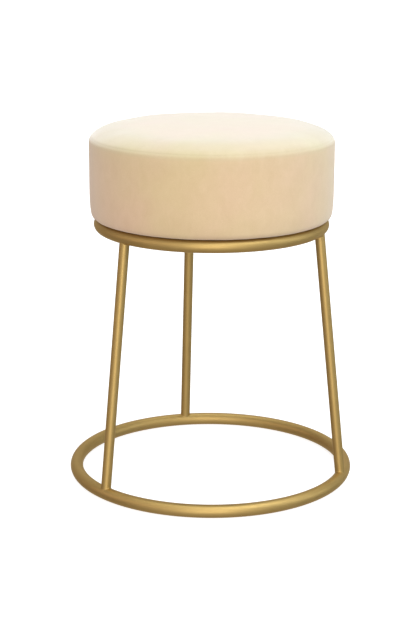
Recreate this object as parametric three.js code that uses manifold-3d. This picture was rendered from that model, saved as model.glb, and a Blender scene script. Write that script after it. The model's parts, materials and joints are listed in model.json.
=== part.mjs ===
// Vanity stool: a round upholstered seat bolted to a welded frame of two tube
// rings and three splayed tube legs.
// Millimetres, +Z up. The origin is on the floor under the middle of the seat.
// The rear leg stands at +Y, the two front legs at 210 and 330 degrees.

import * as THREE from 'three';
import { mergeVertices } from 'three/addons/utils/BufferGeometryUtils.js';
import Module from 'manifold-3d';

const wasm = await Module();
wasm.setup();

// ---------------------------------------------------------------- dimensions

const GAP = 0.3; // clearance kept between pieces that touch or pass through
const AROUND = 60; // facets around the rings and the seat

// welded frame
const RING_TUBE_R = 8.15; // 16 mm round tube
const RING_WALL = 1.2;
const RING_SIDES = 14; // this many sides give the tube a flat at the bottom and the top
const RING_INNER_SIDES = 6;
const BASE_RING_R = 175.8; // centreline radius of the ring on the floor
const TOP_RING_R = 141.0; // centreline radius of the ring under the seat
const TOP_RING_Z = 329.75; // centre height of the upper tube
const LEG_TUBE_R = 6.3; // 12.7 mm round tube
const LEG_WALL = 1.2;
const LEG_SIDES = 16;
const VENT_R = 2.5; // vent hole in each ring wall inside a leg joint
const LEGS = { leg_rear: 90, leg_front_left: 210, leg_front_right: 330 };

// lugs and bolts that hold the seat down on the upper ring
const LUG_AT = { rear_right: 30, rear_left: 150, front: 270 };
const LUG_BOLT_R = 112; // distance of each bolt from the middle
const LUG_HALF_WIDTH = 12;
const LUG_THICK = 3;
const LUG_TOP_Z = 336.9;
const BOLT_R = 3; // M6 button head bolt, 20 mm long
const BOLT_LENGTH = 20;
const BOLT_HEAD_R = 5.25;
const BOLT_HEAD_H = 3.3;
const SOCKET_FLATS = 4;
const WASHER_R = 6.2;
const WASHER_THICK = 1.6;

// seat, heights above the floor
const SEAT_R = 154; // outside of the fabric on the straight side
const FABRIC = 1.0; // velvet thickness
const FLANGE_Z = 338.2; // underside of the fabric turned in below the seat
const FLANGE_INNER_R = 118;
const BOARD_R = 144.7; // both plywood discs
const BASE_BOARD_Z = 339.5;
const BASE_BOARD_THICK = 12.1;
const TOP_BOARD_Z = 394;
const TOP_BOARD_THICK = 9;
const HOOP_INNER_R = 141.5; // bent plywood strip between the discs
const HOOP_OUTER_R = 144.5;
const BLOCK = 25; // square section of the spacer blocks
const BLOCK_AT_R = 127.5;
const BLOCKS = [0, 60, 120, 180, 240, 300];
const DUST_COVER_R = 133;
const DUST_COVER_Z = 337.3;
const DUST_COVER_THICK = 0.6;

// staples through the dust cover and the turned-in fabric into the base board
const STAPLE_COUNT = 15;
const STAPLE_R = 126;
const STAPLE_FIRST = 42; // clear of the lugs
const STAPLE_CROWN = 11;
const STAPLE_WIDE = 1.2;
const STAPLE_WIRE = 0.6;
const STAPLE_TOP_Z = 345;

// outside profile of the upholstered seat, [radius, height], from the turned-in
// edge round the bottom corner, up the side and over the soft top edge
const BOTTOM_CORNER = { r: 146, z: 345.4, across: 6.6, up: 7.2 };
const SIDE = [[153.6, 355], [154.0, 372], [154.0, 434]];
const TOP_EDGE = [
  [153.7, 437.4], [152.4, 440.4], [149.2, 443.2], [144, 446],
  [137, 448.7], [126, 451.2], [108, 453.2], [70, 454.9], [0, 455.4],
];

// ------------------------------------------------------------------- helpers

// closed indexed geometry, only positions, no collapsed triangles
function closed(geometry) {
  const g = geometry.clone();
  for (const name of Object.keys(g.attributes)) if (name !== 'position') g.deleteAttribute(name);
  const merged = mergeVertices(g, 1e-4);
  const src = merged.index.array;
  const keep = [];
  for (let i = 0; i < src.length; i += 3) {
    const [a, b, c] = [src[i], src[i + 1], src[i + 2]];
    if (a !== b && b !== c && a !== c) keep.push(a, b, c);
  }
  merged.setIndex(keep);
  return merged;
}

function signedVolume(g) {
  const p = g.attributes.position;
  const a = new THREE.Vector3(), b = new THREE.Vector3(), c = new THREE.Vector3();
  let v = 0;
  for (let i = 0; i < g.index.count; i += 3) {
    a.fromBufferAttribute(p, g.index.getX(i));
    b.fromBufferAttribute(p, g.index.getX(i + 1));
    c.fromBufferAttribute(p, g.index.getX(i + 2));
    v += a.dot(b.cross(c)) / 6;
  }
  return v;
}

function solid(geometry) {
  const g = closed(geometry);
  const tri = Uint32Array.from(g.index.array);
  if (signedVolume(g) < 0) {
    for (let i = 0; i < tri.length; i += 3) [tri[i + 1], tri[i + 2]] = [tri[i + 2], tri[i + 1]];
  }
  return new wasm.Manifold(new wasm.Mesh({
    numProp: 3,
    vertProperties: Float32Array.from(g.attributes.position.array),
    triVerts: tri,
  }));
}

function geometryOf(s) {
  const m = s.getMesh();
  const g = new THREE.BufferGeometry();
  const xyz = new Float32Array((m.vertProperties.length / m.numProp) * 3);
  for (let i = 0; i < xyz.length / 3; i++) {
    for (let k = 0; k < 3; k++) xyz[3 * i + k] = m.vertProperties[i * m.numProp + k];
  }
  g.setAttribute('position', new THREE.BufferAttribute(xyz, 3));
  g.setIndex(Array.from(m.triVerts));
  g.computeVertexNormals();
  return g;
}

// profile [radius, height] turned about +Z
function turned(profile, sides = AROUND) {
  const g = new THREE.LatheGeometry(profile.map(([r, z]) => new THREE.Vector2(r, z)), sides);
  return g.rotateX(Math.PI / 2);
}

const ringProfile = (r0, r1, z0, z1) => [[r0, z0], [r1, z0], [r1, z1], [r0, z1], [r0, z0]];
const discProfile = (r, z0, z1) => [[0, z0], [r, z0], [r, z1], [0, z1]];

// round tube section whose flats lie on the true radius
const vertexRadius = (r, sides) => r / Math.cos(Math.PI / sides);

function torus(R, tubeR, z, sides) {
  return new THREE.TorusGeometry(R, vertexRadius(tubeR, sides), sides, AROUND).translate(0, 0, z);
}

function box(sx, sy, sz, x, y, z) {
  return new THREE.BoxGeometry(sx, sy, sz).translate(x, y, z);
}

// upright cylinder from z0 to z1
function post(r, z0, z1, x, y, sides) {
  return new THREE.CylinderGeometry(r, r, z1 - z0, sides)
    .rotateX(Math.PI / 2).translate(x, y, (z0 + z1) / 2);
}

const rad = THREE.MathUtils.degToRad;
const at = (geometry, degrees) => geometry.clone().rotateZ(rad(degrees));

// moves each point of a seat profile inwards by d along its normal
function inset(profile, d) {
  return profile.map(([r, z], i) => {
    const a = profile[Math.max(i - 1, 0)], b = profile[Math.min(i + 1, profile.length - 1)];
    const t = new THREE.Vector2(b[0] - a[0], b[1] - a[1]).normalize();
    const inward = new THREE.Vector2(-t.y, t.x);
    if (r === 0) return [0, z - d];
    return [r + inward.x * d, z + inward.y * d];
  });
}

// ------------------------------------------------------------ materials

const gold = () => new THREE.MeshStandardMaterial({ color: 0xb08f4f, roughness: 0.34, metalness: 1 });
const zinc = () => new THREE.MeshStandardMaterial({ color: 0xb9bcbf, roughness: 0.4, metalness: 1 });
const velvet = () => new THREE.MeshStandardMaterial({ color: 0xeed9b6, roughness: 0.95, metalness: 0 });
const ply = () => new THREE.MeshStandardMaterial({ color: 0xcdae7e, roughness: 0.8, metalness: 0 });
const pine = () => new THREE.MeshStandardMaterial({ color: 0xd9bc88, roughness: 0.8, metalness: 0 });
const foam = () => new THREE.MeshStandardMaterial({ color: 0xf0ead8, roughness: 1, metalness: 0 });
const nonwoven = () => new THREE.MeshStandardMaterial({ color: 0x1c1c1d, roughness: 0.95, metalness: 0 });

function mesh(name, geometry, material, degrees = 0, z = 0) {
  const m = new THREE.Mesh(geometry, material);
  m.name = name;
  m.position.z = z;
  m.rotation.z = rad(degrees);
  return m;
}

// ---------------------------------------------------------------- the frame

const frame = new THREE.Group();

// a leg's axis in the plane of its azimuth, from ring centre to ring centre
const legFoot = new THREE.Vector3(BASE_RING_R, 0, RING_TUBE_R);
const legHead = new THREE.Vector3(TOP_RING_R, 0, TOP_RING_Z);
const legAxis = legHead.clone().sub(legFoot);
const legTurn = new THREE.Quaternion()
  .setFromUnitVectors(new THREE.Vector3(0, 1, 0), legAxis.clone().normalize());

function alongLeg(r, sides, from, to) {
  const length = to - from;
  const middle = legFoot.clone().addScaledVector(legAxis.clone().normalize(), (from + to) / 2);
  return new THREE.CylinderGeometry(r, r, length, sides)
    .applyQuaternion(legTurn).translate(middle.x, middle.y, middle.z);
}

const legLength = legAxis.length();

// hollow ring with a vent hole in its wall under each leg joint
function hollowRing(R, z, ventFrom, ventTo) {
  let s = solid(torus(R, RING_TUBE_R, z, RING_SIDES))
    .subtract(solid(torus(R, RING_TUBE_R - RING_WALL - 0.3, z, RING_INNER_SIDES)));
  for (const degrees of Object.values(LEGS)) {
    s = s.subtract(solid(at(alongLeg(VENT_R, 8, ventFrom, ventTo), degrees)));
  }
  return geometryOf(s);
}

frame.add(mesh('base_ring', hollowRing(BASE_RING_R, RING_TUBE_R, 2, 14), gold()));
frame.add(mesh('top_ring', hollowRing(TOP_RING_R, TOP_RING_Z, legLength - 14, legLength - 2), gold()));

// the leg tube is open at both ends and coped to sit on the two rings
const baseClear = solid(torus(BASE_RING_R, RING_TUBE_R + GAP, RING_TUBE_R, RING_SIDES));
const topClear = solid(torus(TOP_RING_R, RING_TUBE_R + GAP, TOP_RING_Z, RING_SIDES));
const leg = geometryOf(
  solid(alongLeg(vertexRadius(LEG_TUBE_R, LEG_SIDES), LEG_SIDES, 0, legLength))
    .subtract(solid(alongLeg(LEG_TUBE_R - LEG_WALL, LEG_SIDES / 2, -1, legLength + 1)))
    .subtract(baseClear)
    .subtract(topClear),
);
for (const [name, degrees] of Object.entries(LEGS)) frame.add(mesh(name, leg, gold(), degrees));

// flat lug, round at its free end, coped to the inside of the upper ring
const lugOutline = new THREE.Shape();
lugOutline.moveTo(LUG_BOLT_R, LUG_HALF_WIDTH);
lugOutline.absarc(LUG_BOLT_R, 0, LUG_HALF_WIDTH, Math.PI / 2, (3 * Math.PI) / 2, false);
lugOutline.lineTo(TOP_RING_R - 2, -LUG_HALF_WIDTH);
lugOutline.lineTo(TOP_RING_R - 2, LUG_HALF_WIDTH);
lugOutline.closePath();
const lugZ = LUG_TOP_Z - LUG_THICK;
const lug = geometryOf(
  solid(new THREE.ExtrudeGeometry(lugOutline, { depth: LUG_THICK, bevelEnabled: false, curveSegments: 10 })
    .translate(0, 0, lugZ))
    .subtract(solid(post(BOLT_R + GAP + 0.1, lugZ - 2, LUG_TOP_Z + 2, LUG_BOLT_R, 0, 16)))
    .subtract(topClear),
);
for (const [name, degrees] of Object.entries(LUG_AT)) frame.add(mesh(`seat_lug_${name}`, lug, gold(), degrees));

// ------------------------------------------------------- bolts, washers, nuts

const fasteners = new THREE.Group();
const washerZ = lugZ - GAP - WASHER_THICK;
const headZ = washerZ - GAP; // bearing face of the bolt head
const boreR = BOLT_R + GAP + 0.1;

const washer = geometryOf(solid(turned(ringProfile(boreR, WASHER_R, washerZ, washerZ + WASHER_THICK), 16)
  .translate(LUG_BOLT_R, 0, 0)));

const bolt = geometryOf(
  solid(turned([
    [0, headZ - BOLT_HEAD_H], [2.9, headZ - BOLT_HEAD_H], [4.4, headZ - 2.4], [BOLT_HEAD_R, headZ - 1],
    [BOLT_HEAD_R, headZ], [BOLT_R, headZ], [BOLT_R, headZ + BOLT_LENGTH - 0.6],
    [BOLT_R - 0.6, headZ + BOLT_LENGTH], [0, headZ + BOLT_LENGTH],
  ], 16).translate(LUG_BOLT_R, 0, 0))
    .subtract(solid(post(SOCKET_FLATS / Math.sqrt(3), headZ - BOLT_HEAD_H - 1, headZ - 1.3, LUG_BOLT_R, 0, 6))),
);

// tee nut: flange on top of the base board, barrel and three prongs down in it
const boardTop = BASE_BOARD_Z + BASE_BOARD_THICK;
const nutZ = boardTop + GAP;
const NUT = { flangeR: 9.5, flangeH: 1.5, barrelR: 4.1, barrelDown: 8.9, prongAt: 7.4, prong: [1.2, 2.6, 5] };
const prongs = [0, 120, 240].map((d) => [LUG_BOLT_R + NUT.prongAt * Math.cos(rad(d)), NUT.prongAt * Math.sin(rad(d)), d]);
function prong([x, y, d], grow) {
  const [a, b, h] = NUT.prong;
  return new THREE.BoxGeometry(a + 2 * grow, b + 2 * grow, h + 2 * grow)
    .rotateZ(rad(d)).translate(x, y, nutZ - h / 2 + 0.3);
}
let nut = solid(turned([
  [boreR, nutZ - NUT.barrelDown], [NUT.barrelR, nutZ - NUT.barrelDown], [NUT.barrelR, nutZ],
  [NUT.flangeR, nutZ], [NUT.flangeR, nutZ + NUT.flangeH], [boreR, nutZ + NUT.flangeH],
  [boreR, nutZ - NUT.barrelDown],
], 16).translate(LUG_BOLT_R, 0, 0));
for (const p of prongs) nut = nut.add(solid(prong(p, 0)));
const teeNut = geometryOf(nut);

for (const [name, degrees] of Object.entries(LUG_AT)) {
  fasteners.add(mesh(`seat_bolt_${name}`, bolt, zinc(), degrees));
  fasteners.add(mesh(`seat_washer_${name}`, washer, zinc(), degrees));
  fasteners.add(mesh(`tee_nut_${name}`, teeNut, zinc(), degrees));
}

// -------------------------------------------------------------- seat carcass

const seat = new THREE.Group();

// wood screw, countersunk, up through the base board into a spacer block
const screwZ = BASE_BOARD_Z + GAP;
const SCREW_LENGTH = 30;
const screwProfile = (g) => [
  [0, screwZ - 2 * g], [3.9 + g, screwZ - 2 * g], [3.9 + g, screwZ + 0.4 + g], [1.9 + g, screwZ + 2.4 + g],
  [1.9 + g, screwZ + SCREW_LENGTH - 4.5], [0, screwZ + SCREW_LENGTH + 2 * g],
];
const screw = geometryOf(solid(turned(screwProfile(0), 10).translate(BLOCK_AT_R, 0, 0)));
const screwHole = turned(screwProfile(0.35), 10).translate(BLOCK_AT_R, 0, 0);

const blockZ = boardTop + GAP;
const blockTop = TOP_BOARD_Z - GAP;
const block = geometryOf(
  solid(box(BLOCK, BLOCK, blockTop - blockZ, BLOCK_AT_R, 0, (blockZ + blockTop) / 2))
    .subtract(solid(screwHole)),
);
BLOCKS.forEach((degrees, i) => {
  seat.add(mesh(`spacer_block_${i + 1}`, block, pine(), degrees));
  seat.add(mesh(`block_screw_${i + 1}`, screw, zinc(), degrees));
});

// staple: flat crown below the dust cover, two legs up into the base board
const stapleBottom = DUST_COVER_Z - GAP - STAPLE_WIRE;
const half = STAPLE_CROWN / 2;
const stapleShape = new THREE.Shape([
  [-half, stapleBottom], [half, stapleBottom], [half, STAPLE_TOP_Z], [half - STAPLE_WIRE, STAPLE_TOP_Z],
  [half - STAPLE_WIRE, stapleBottom + STAPLE_WIRE], [-half + STAPLE_WIRE, stapleBottom + STAPLE_WIRE],
  [-half + STAPLE_WIRE, STAPLE_TOP_Z], [-half, STAPLE_TOP_Z],
].map(([x, y]) => new THREE.Vector2(x, y)));
const staple = geometryOf(solid(
  new THREE.ExtrudeGeometry(stapleShape, { depth: STAPLE_WIDE, bevelEnabled: false })
    .rotateX(Math.PI / 2).rotateZ(Math.PI / 2).translate(STAPLE_R - STAPLE_WIDE / 2, 0, 0),
));
const stapleAngles = Array.from({ length: STAPLE_COUNT }, (_, i) => STAPLE_FIRST + (360 / STAPLE_COUNT) * i);
const stapleSlots = stapleAngles.flatMap((degrees) => [-1, 1].map((side) => at(
  box(STAPLE_WIDE + 2 * GAP, STAPLE_WIRE + 2 * GAP, 12,
    STAPLE_R, side * (half - STAPLE_WIRE / 2), STAPLE_TOP_Z + GAP - 6),
  degrees,
)));
function stapled(s) {
  for (const slot of stapleSlots) s = s.subtract(solid(slot));
  return s;
}

let baseBoard = stapled(solid(turned(discProfile(BOARD_R, BASE_BOARD_Z, boardTop))));
for (const degrees of Object.values(LUG_AT)) {
  baseBoard = baseBoard.subtract(solid(at(post(NUT.barrelR + GAP + 0.1, BASE_BOARD_Z - 2, boardTop + 2, LUG_BOLT_R, 0, 16), degrees)));
  for (const p of prongs) baseBoard = baseBoard.subtract(solid(at(prong(p, GAP), degrees)));
}
for (const degrees of BLOCKS) baseBoard = baseBoard.subtract(solid(at(screwHole, degrees)));
seat.add(mesh('seat_base_board', geometryOf(baseBoard), ply()));

seat.add(mesh('seat_hoop', geometryOf(solid(turned(ringProfile(HOOP_INNER_R, HOOP_OUTER_R, blockZ, blockTop), AROUND))), ply()));
const topBoardTop = TOP_BOARD_Z + TOP_BOARD_THICK;
seat.add(mesh('seat_top_board', geometryOf(solid(turned(discProfile(BOARD_R, TOP_BOARD_Z, topBoardTop)))), ply()));

// ---------------------------------------------------------------- upholstery

// the profile from where the fabric leaves the flat underside to the crown
const corner = [];
for (let i = 0; i <= 3; i++) {
  const a = rad(-90 + i * 30);
  corner.push([BOTTOM_CORNER.r + BOTTOM_CORNER.across * Math.cos(a), BOTTOM_CORNER.z + BOTTOM_CORNER.up * Math.sin(a)]);
}
const outside = [[FLANGE_INNER_R, FLANGE_Z], ...corner, ...SIDE, ...TOP_EDGE];
// the inner faces follow it with fewer points
const COARSE = [0, 1, 3, 4, 5, 7, 9, 10, 12, 14, 16];
const coarse = (profile) => COARSE.map((i) => profile[i]);
const lining = coarse(inset(outside, FABRIC));
const stuffing = coarse(inset(outside, FABRIC + GAP));

let cover = solid(turned([...outside, ...lining.reverse(), outside[0]]));
cover = stapled(cover);
seat.add(mesh('seat_cover', geometryOf(cover), velvet()));

// side foam wraps the boards and the hoop, the top foam lies on the top board
const foamInner = BOARD_R + GAP;
const sideOuter = stuffing.filter(([r, z]) => r > foamInner && z < topBoardTop - 1);
const sideTopR = SEAT_R - FABRIC - GAP;
const sideBottomZ = BASE_BOARD_Z + 0.1;
seat.add(mesh('side_foam', geometryOf(solid(turned([
  [foamInner, sideBottomZ], ...sideOuter.filter(([, z]) => z >= sideBottomZ - 0.2), [sideTopR, topBoardTop],
  [foamInner, topBoardTop], [foamInner, sideBottomZ],
]))), foam()));
const padZ = topBoardTop + GAP;
seat.add(mesh('top_foam', geometryOf(solid(turned([
  [0, padZ], [sideTopR, padZ], ...stuffing.filter(([, z]) => z > padZ + 5),
]))), foam()));

// dust cover: thin cloth over the whole underside inside the upper ring
let dust = stapled(solid(turned(discProfile(DUST_COVER_R, DUST_COVER_Z, DUST_COVER_Z + DUST_COVER_THICK))));
for (const degrees of Object.values(LUG_AT)) {
  dust = dust.subtract(solid(at(post(boreR + 0.8, DUST_COVER_Z - 2, DUST_COVER_Z + 3, LUG_BOLT_R, 0, 12), degrees)));
}
seat.add(mesh('dust_cover', geometryOf(dust), nonwoven()));

stapleAngles.forEach((degrees, i) => {
  seat.add(mesh(`staple_${String(i + 1).padStart(2, '0')}`, staple, zinc(), degrees));
});

// -------------------------------------------------------------- whole stool

const stool = new THREE.Group();
stool.add(frame, fasteners, seat);

export default stool;
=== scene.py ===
import json
import math

import bmesh
import bpy
import numpy as np
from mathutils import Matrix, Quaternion, Vector


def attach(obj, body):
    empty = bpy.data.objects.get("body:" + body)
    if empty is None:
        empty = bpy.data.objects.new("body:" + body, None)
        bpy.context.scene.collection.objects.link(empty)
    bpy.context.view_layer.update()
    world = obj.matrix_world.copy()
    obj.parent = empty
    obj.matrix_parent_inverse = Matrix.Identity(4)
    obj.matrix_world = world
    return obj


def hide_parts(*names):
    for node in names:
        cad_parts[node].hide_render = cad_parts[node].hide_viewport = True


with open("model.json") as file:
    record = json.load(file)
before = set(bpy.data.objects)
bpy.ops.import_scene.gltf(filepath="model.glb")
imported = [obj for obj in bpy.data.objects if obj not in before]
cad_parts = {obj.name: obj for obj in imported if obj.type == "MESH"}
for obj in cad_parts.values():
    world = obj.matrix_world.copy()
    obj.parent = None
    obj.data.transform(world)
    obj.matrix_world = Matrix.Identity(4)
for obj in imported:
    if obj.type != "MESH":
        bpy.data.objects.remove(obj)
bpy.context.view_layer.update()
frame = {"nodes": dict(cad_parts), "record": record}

MM = 0.001
TAU = 2 * math.pi
scene = bpy.context.scene

# the same dimensions as the construction, in millimetres
RING_TUBE = 8.15
BASE_R, BASE_Z = 175.8, 8.15
TOP_R, TOP_Z = 141.0, 329.75
LEG_TUBE = 6.3
LEGS = {"leg_rear": 90, "leg_front_left": 210, "leg_front_right": 330}
LUGS = {"rear_right": 30, "rear_left": 150, "front": 270}
LUG_TOP, LUG_THICK, LUG_HALF, BOLT_AT = 336.9, 3.0, 12.0, 112.0


# ------------------------------------------------------------------- helpers

def waves(seed, count, n_lo, n_hi, k_lo, k_hi):
    """Sum of seeded waves around the seat (whole turns) and along its profile, about -1 to 1."""
    rng = np.random.default_rng(seed)
    n = rng.integers(n_lo, n_hi + 1, count)
    k = rng.uniform(k_lo, k_hi, count)
    p = rng.uniform(0, TAU, count)
    w = rng.uniform(0.5, 1.0, count)

    def at(theta, s):
        out = 0.0
        for i in range(count):
            out = out + w[i] * np.cos(n[i] * theta + k[i] * s + p[i])
        return out / math.sqrt((w ** 2).sum())

    return at


def lumps(seed, count, shortest, longest):
    """Sum of seeded waves through space, in millimetres, about -1 to 1."""
    rng = np.random.default_rng(seed)
    d = rng.normal(size=(count, 3))
    d /= np.linalg.norm(d, axis=1)[:, None]
    k = TAU / rng.uniform(shortest, longest, count)
    p = rng.uniform(0, TAU, count)

    def at(pts):
        out = 0.0
        for i in range(count):
            out = out + np.cos((pts @ d[i]) * k[i] + p[i])
        return out / math.sqrt(count / 2) / 1.6

    return at


def mesh_object(name, verts, faces, uv=None, smooth=True):
    """verts in millimetres; uv is one (u, v) in millimetres for each face corner."""
    me = bpy.data.meshes.new(name)
    me.from_pydata([tuple(float(c) * MM for c in v) for v in verts], [], faces)
    if uv is not None:
        layer = me.uv_layers.new(name="UVMap")
        flat = np.asarray(uv, dtype=np.float32).reshape(-1) * MM
        layer.data.foreach_set("uv", flat)
    if smooth:
        me.polygons.foreach_set("use_smooth", [True] * len(me.polygons))
    me.update()
    ob = bpy.data.objects.new(name, me)
    bpy.context.collection.objects.link(ob)
    return ob


def grid_object(name, pts, wrap_u=True, wrap_v=False, uv_uv=None, smooth=True):
    """pts[i][j] as an array (nu, nv, 3) in millimetres. uv_uv is an array (nu + wrap, nv + wrap, 2)."""
    nu, nv = pts.shape[:2]
    verts = pts.reshape(-1, 3)
    faces, uv = [], []
    for i in range(nu if wrap_u else nu - 1):
        i2 = (i + 1) % nu
        for j in range(nv if wrap_v else nv - 1):
            j2 = (j + 1) % nv
            faces.append((i * nv + j, i2 * nv + j, i2 * nv + j2, i * nv + j2))
            if uv_uv is not None:
                uv += [uv_uv[i, j], uv_uv[i + 1, j], uv_uv[i + 1, j + 1], uv_uv[i, j + 1]]
    return mesh_object(name, verts, faces, uv if uv_uv is not None else None, smooth)


def close_ends(ob, rows, per_row, tips):
    """Close the two open ends of a tube made by grid_object with a point each, given in millimetres."""
    bm = bmesh.new()
    bm.from_mesh(ob.data)
    bm.verts.ensure_lookup_table()
    vs = list(bm.verts)
    for j, tip in zip((0, per_row - 1), tips):
        t = bm.verts.new(Vector(tip) * MM)
        for i in range(rows):
            bm.faces.new((vs[i * per_row + j], vs[(i + 1) % rows * per_row + j], t)).smooth = False
    bmesh.ops.recalc_face_normals(bm, faces=bm.faces)
    bm.to_mesh(ob.data)
    bm.free()
    return ob


def place(ob, mat, *nodes, slot=None):
    ob.data.materials.clear()
    ob.data.materials.append(mat)
    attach(ob, "root")
    if nodes:
        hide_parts(*nodes)
    return ob


def bevel(ob, width, segments=2, angle=35):
    m = ob.modifiers.new("edge", "BEVEL")
    m.width, m.segments = width * MM, segments
    m.limit_method, m.angle_limit = "ANGLE", math.radians(angle)
    m.harden_normals = False
    return m


def rot_z(p, degrees):
    a = math.radians(degrees)
    c, s = math.cos(a), math.sin(a)
    p = np.asarray(p, dtype=float)
    return np.stack([p[..., 0] * c - p[..., 1] * s, p[..., 0] * s + p[..., 1] * c, p[..., 2]], -1)


# ---------------------------------------------------------- material helpers

def new_material(name):
    m = bpy.data.materials.new(name)
    m.use_nodes = True
    nt = m.node_tree
    nt.nodes.clear()
    out = nt.nodes.new("ShaderNodeOutputMaterial")
    bsdf = nt.nodes.new("ShaderNodeBsdfPrincipled")
    nt.links.new(bsdf.outputs["BSDF"], out.inputs["Surface"])
    return m, nt, bsdf


def node(nt, kind, **kw):
    n = nt.nodes.new(kind)
    for k, v in kw.items():
        setattr(n, k, v)
    return n


def coords(nt, space="Object", scale=(1, 1, 1), rotation=(0, 0, 0)):
    tc = node(nt, "ShaderNodeTexCoord")
    mp = node(nt, "ShaderNodeMapping")
    mp.inputs["Scale"].default_value = scale
    mp.inputs["Rotation"].default_value = rotation
    nt.links.new(tc.outputs[space], mp.inputs["Vector"])
    return mp.outputs["Vector"]


def noise_tex(nt, vec, scale, detail=3, rough=0.5, distortion=0.0):
    n = node(nt, "ShaderNodeTexNoise")
    n.inputs["Scale"].default_value = scale
    n.inputs["Detail"].default_value = detail
    n.inputs["Roughness"].default_value = rough
    n.inputs["Distortion"].default_value = distortion
    nt.links.new(vec, n.inputs["Vector"])
    return n


def ramp(nt, fac, stops):
    r = node(nt, "ShaderNodeValToRGB")
    els = r.color_ramp.elements
    while len(els) < len(stops):
        els.new(0.5)
    for e, (pos, col) in zip(els, stops):
        e.position = pos
        e.color = (*col, 1) if len(col) == 3 else col
    nt.links.new(fac, r.inputs["Fac"])
    return r.outputs["Color"]


def mix_rgb(nt, fac, a, b, blend="MIX"):
    m = node(nt, "ShaderNodeMix", data_type="RGBA", blend_type=blend)
    for sock, val in ((m.inputs[0], fac), (m.inputs[6], a), (m.inputs[7], b)):
        if hasattr(val, "is_linked"):
            nt.links.new(val, sock)
        elif isinstance(val, (int, float)):
            sock.default_value = val
        else:
            sock.default_value = (*val, 1)
    return m.outputs[2]


def map_range(nt, val, a, b, c, d):
    m = node(nt, "ShaderNodeMapRange")
    m.inputs["From Min"].default_value = a
    m.inputs["From Max"].default_value = b
    m.inputs["To Min"].default_value = c
    m.inputs["To Max"].default_value = d
    nt.links.new(val, m.inputs["Value"])
    return m.outputs["Result"]


def math_node(nt, op, a, b=None):
    m = node(nt, "ShaderNodeMath", operation=op)
    for sock, val in ((m.inputs[0], a), (m.inputs[1], b)):
        if val is None:
            continue
        if hasattr(val, "is_linked"):
            nt.links.new(val, sock)
        else:
            sock.default_value = val
    return m.outputs[0]


def bump(nt, height, strength, distance, normal=None):
    b = node(nt, "ShaderNodeBump")
    b.inputs["Strength"].default_value = strength
    b.inputs["Distance"].default_value = distance
    nt.links.new(height, b.inputs["Height"])
    if normal is not None:
        nt.links.new(normal, b.inputs["Normal"])
    return b.outputs["Normal"]


# --------------------------------------------------------------- materials

VELVET_PINK = (0.632, 0.443, 0.284)
VELVET_MID = (0.620, 0.450, 0.271)
VELVET_GOLD = (0.607, 0.458, 0.257)

def gold_material():
    m, nt, b = new_material("brushed_gold_steel")
    # fine brushing along the tube: long in u, tight in v
    uv = coords(nt, "UV", (26, 1500, 1))
    streak = noise_tex(nt, uv, 1.0, 4, 0.62)
    uv2 = coords(nt, "UV", (7, 420, 1))
    broad = noise_tex(nt, uv2, 1.0, 3, 0.5)
    cloud = noise_tex(nt, coords(nt, "Object"), 34, 4, 0.55)
    tone = math_node(nt, "ADD", math_node(nt, "MULTIPLY", streak.outputs["Fac"], 0.45),
                     math_node(nt, "MULTIPLY", cloud.outputs["Fac"], 0.55))
    col = ramp(nt, tone, [(0.30, (0.405, 0.268, 0.087)), (0.5, (0.441, 0.295, 0.098)), (0.72, (0.478, 0.323, 0.110))])
    nt.links.new(col, b.inputs["Base Color"])
    rough = math_node(nt, "ADD",
                      map_range(nt, streak.outputs["Fac"], 0.25, 0.75, 0.49, 0.55),
                      map_range(nt, cloud.outputs["Fac"], 0.3, 0.7, -0.015, 0.015))
    nt.links.new(rough, b.inputs["Roughness"])
    b.inputs["Metallic"].default_value = 1.0
    b.inputs["Specular Tint"].default_value = (1.0, 0.90, 0.62, 1)
    # clear lacquer over the plating
    b.inputs["Coat Weight"].default_value = 0.25
    b.inputs["Coat Roughness"].default_value = 0.45
    b.inputs["Coat IOR"].default_value = 1.5
    h = math_node(nt, "ADD", streak.outputs["Fac"], math_node(nt, "MULTIPLY", broad.outputs["Fac"], 0.6))
    nt.links.new(bump(nt, h, 0.10, 0.00008), b.inputs["Normal"])
    return m


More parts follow.
